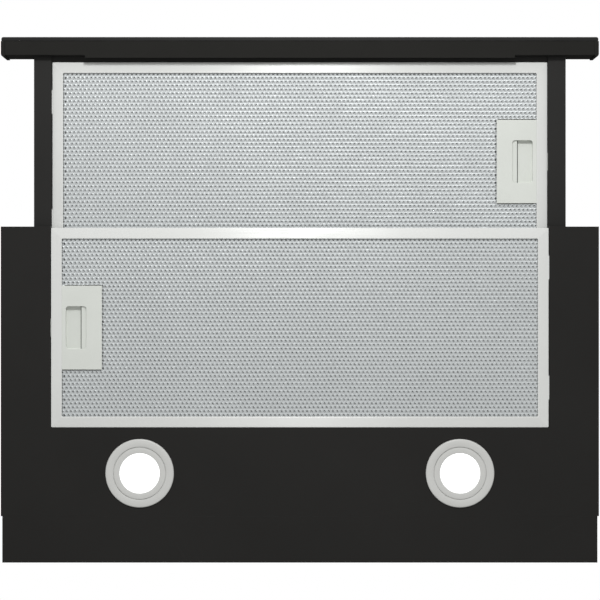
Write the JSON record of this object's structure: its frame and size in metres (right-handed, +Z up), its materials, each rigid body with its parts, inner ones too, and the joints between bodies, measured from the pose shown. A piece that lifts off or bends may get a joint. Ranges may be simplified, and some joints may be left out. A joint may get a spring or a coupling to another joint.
{
  "type": "range hood",
  "caption": "Pull-out range hood: black tray and drawn-out visor with aluminium mesh filters, round lamps below, housing with blower and duct collar above.",
  "frame": {"origin": "on the duct collar's axis, where the tube leaves its flange", "axes": "+Z up along the collar's axis, +X to the right as seen from the front, +Y to the wall"},
  "size_m": [0.598, 0.5255, 0.2052],
  "materials": {
    "black_paint": "satin powder coat",
    "galvanised": "galvanised sheet",
    "front_paint": "satin powder coat",
    "black_plastic": "matte moulded",
    "filter_aluminium": "mill",
    "filter_net": "expanded mesh",
    "catch_plastic": "satin moulded",
    "lamp_ring": "satin grey",
    "lamp_diffuser": "lit diffuser",
    "motor_metal": "cast",
    "white_plastic": "moulded",
    "magnet": "ferrite"
  },
  "bodies": {
    "hood_body": {"bottom_panel": "black_paint", "tray_left_side": "black_paint", "tray_right_side": "black_paint", "tray_rear_wall": "black_paint", "rear_spacer": "black_paint", "tray_deck": "galvanised", "housing_front": "galvanised", "housing_rear": "galvanised", "housing_left_side": "galvanised", "housing_right_side": "galvanised", "housing_top": "galvanised", "rail_left_hanger": "galvanised", "rail_right_hanger": "galvanised", "rail_left_outer": "galvanised", "rail_right_outer": "galvanised", "motor_bracket": "galvanised", "exhaust_collar": "black_plastic", "scroll_wrap": "black_plastic", "scroll_left_side": "black_plastic", "scroll_right_side": "black_plastic", "terminal_box": "black_plastic", "cable_gland": "black_plastic", "visor_switch": "black_plastic", "lamp_left_housing": "lamp_ring", "lamp_right_housing": "lamp_ring", "lamp_left_lens": "lamp_diffuser", "lamp_right_lens": "lamp_diffuser", "motor_body": "motor_metal", "capacitor": "white_plastic", "lamp_driver": "white_plastic"},
    "visor": {"visor_left_channel": "black_paint", "visor_right_channel": "black_paint", "visor_front_bar": "black_paint", "visor_rear_bar": "black_paint", "visor_top_sheet": "galvanised", "visor_magnet": "magnet", "front_profile": "front_paint", "front_profile_caps": "black_plastic", "front_trim": "front_paint", "control_block": "black_plastic", "front_filter_frame": "filter_aluminium", "front_filter_mesh": "filter_net", "front_filter_handle_plate": "catch_plastic", "rail_left_inner": "galvanised", "rail_right_inner": "galvanised"},
    "left_rail_slide": {"rail_left_middle": "galvanised"},
    "right_rail_slide": {"rail_right_middle": "galvanised"},
    "rear_filter": {"rear_filter_frame": "filter_aluminium", "rear_filter_mesh": "filter_net", "rear_filter_handle_plate": "catch_plastic"},
    "rear_catch": {"rear_filter_latch": "catch_plastic"},
    "front_catch": {"front_filter_latch": "catch_plastic"},
    "speed_switch": {"speed_slider": "black_plastic"},
    "light_switch": {"light_slider": "black_plastic"},
    "rotor": {"impeller": "black_plastic", "motor_shaft": "galvanised"},
    "front_flap": {"flap_front": "black_plastic"},
    "rear_flap": {"flap_rear": "black_plastic"}
  },
  "joints": [
    {"name": "visor_slide", "type": "slide", "parent": "hood_body", "child": "visor", "axis": [0, -1, 0], "range_m": [-0.1665, 0]},
    {"name": "left_rail_slide", "type": "slide", "parent": "hood_body", "child": "left_rail_slide", "axis": [0, -1, 0], "range_m": [-0.08325, 0]},
    {"name": "right_rail_slide", "type": "slide", "parent": "hood_body", "child": "right_rail_slide", "axis": [0, -1, 0], "range_m": [-0.08325, 0]},
    {"name": "rear_filter_swing", "type": "hinge", "parent": "hood_body", "child": "rear_filter", "pos_m": [0.24925, -0.04495, -0.18], "axis": [0, -1, 0], "range_deg": [0, 75]},
    {"name": "rear_catch_slide", "type": "slide", "parent": "rear_filter", "child": "rear_catch", "axis": [1, 0, 0], "range_m": [0, 0.005], "stiffness_N_per_m": 300},
    {"name": "front_catch_slide", "type": "slide", "parent": "visor", "child": "front_catch", "axis": [-1, 0, 0], "range_m": [0, 0.005], "stiffness_N_per_m": 300},
    {"name": "speed_slide", "type": "slide", "parent": "visor", "child": "speed_switch", "axis": [1, 0, 0], "range_m": [0, 0.024]},
    {"name": "light_slide", "type": "slide", "parent": "visor", "child": "light_switch", "axis": [1, 0, 0], "range_m": [0, 0.008]},
    {"name": "fan_spin", "type": "hinge", "parent": "hood_body", "child": "rotor", "pos_m": [0, -0.031, -0.0678], "axis": [1, 0, 0], "continuous": true},
    {"name": "front_flap_swing", "type": "hinge", "parent": "hood_body", "child": "front_flap", "pos_m": [0, -0.0032, 0.0045], "axis": [-1, 0, 0], "range_deg": [0, 80]},
    {"name": "rear_flap_swing", "type": "hinge", "parent": "hood_body", "child": "rear_flap", "pos_m": [0, 0.0032, 0.0045], "axis": [1, 0, 0], "range_deg": [0, 80]}
  ],
  "couplings": [
    {"joint": "left_rail_slide", "follows": "visor_slide", "ratio": 0.5},
    {"joint": "right_rail_slide", "follows": "visor_slide", "ratio": 0.5}
  ]
}
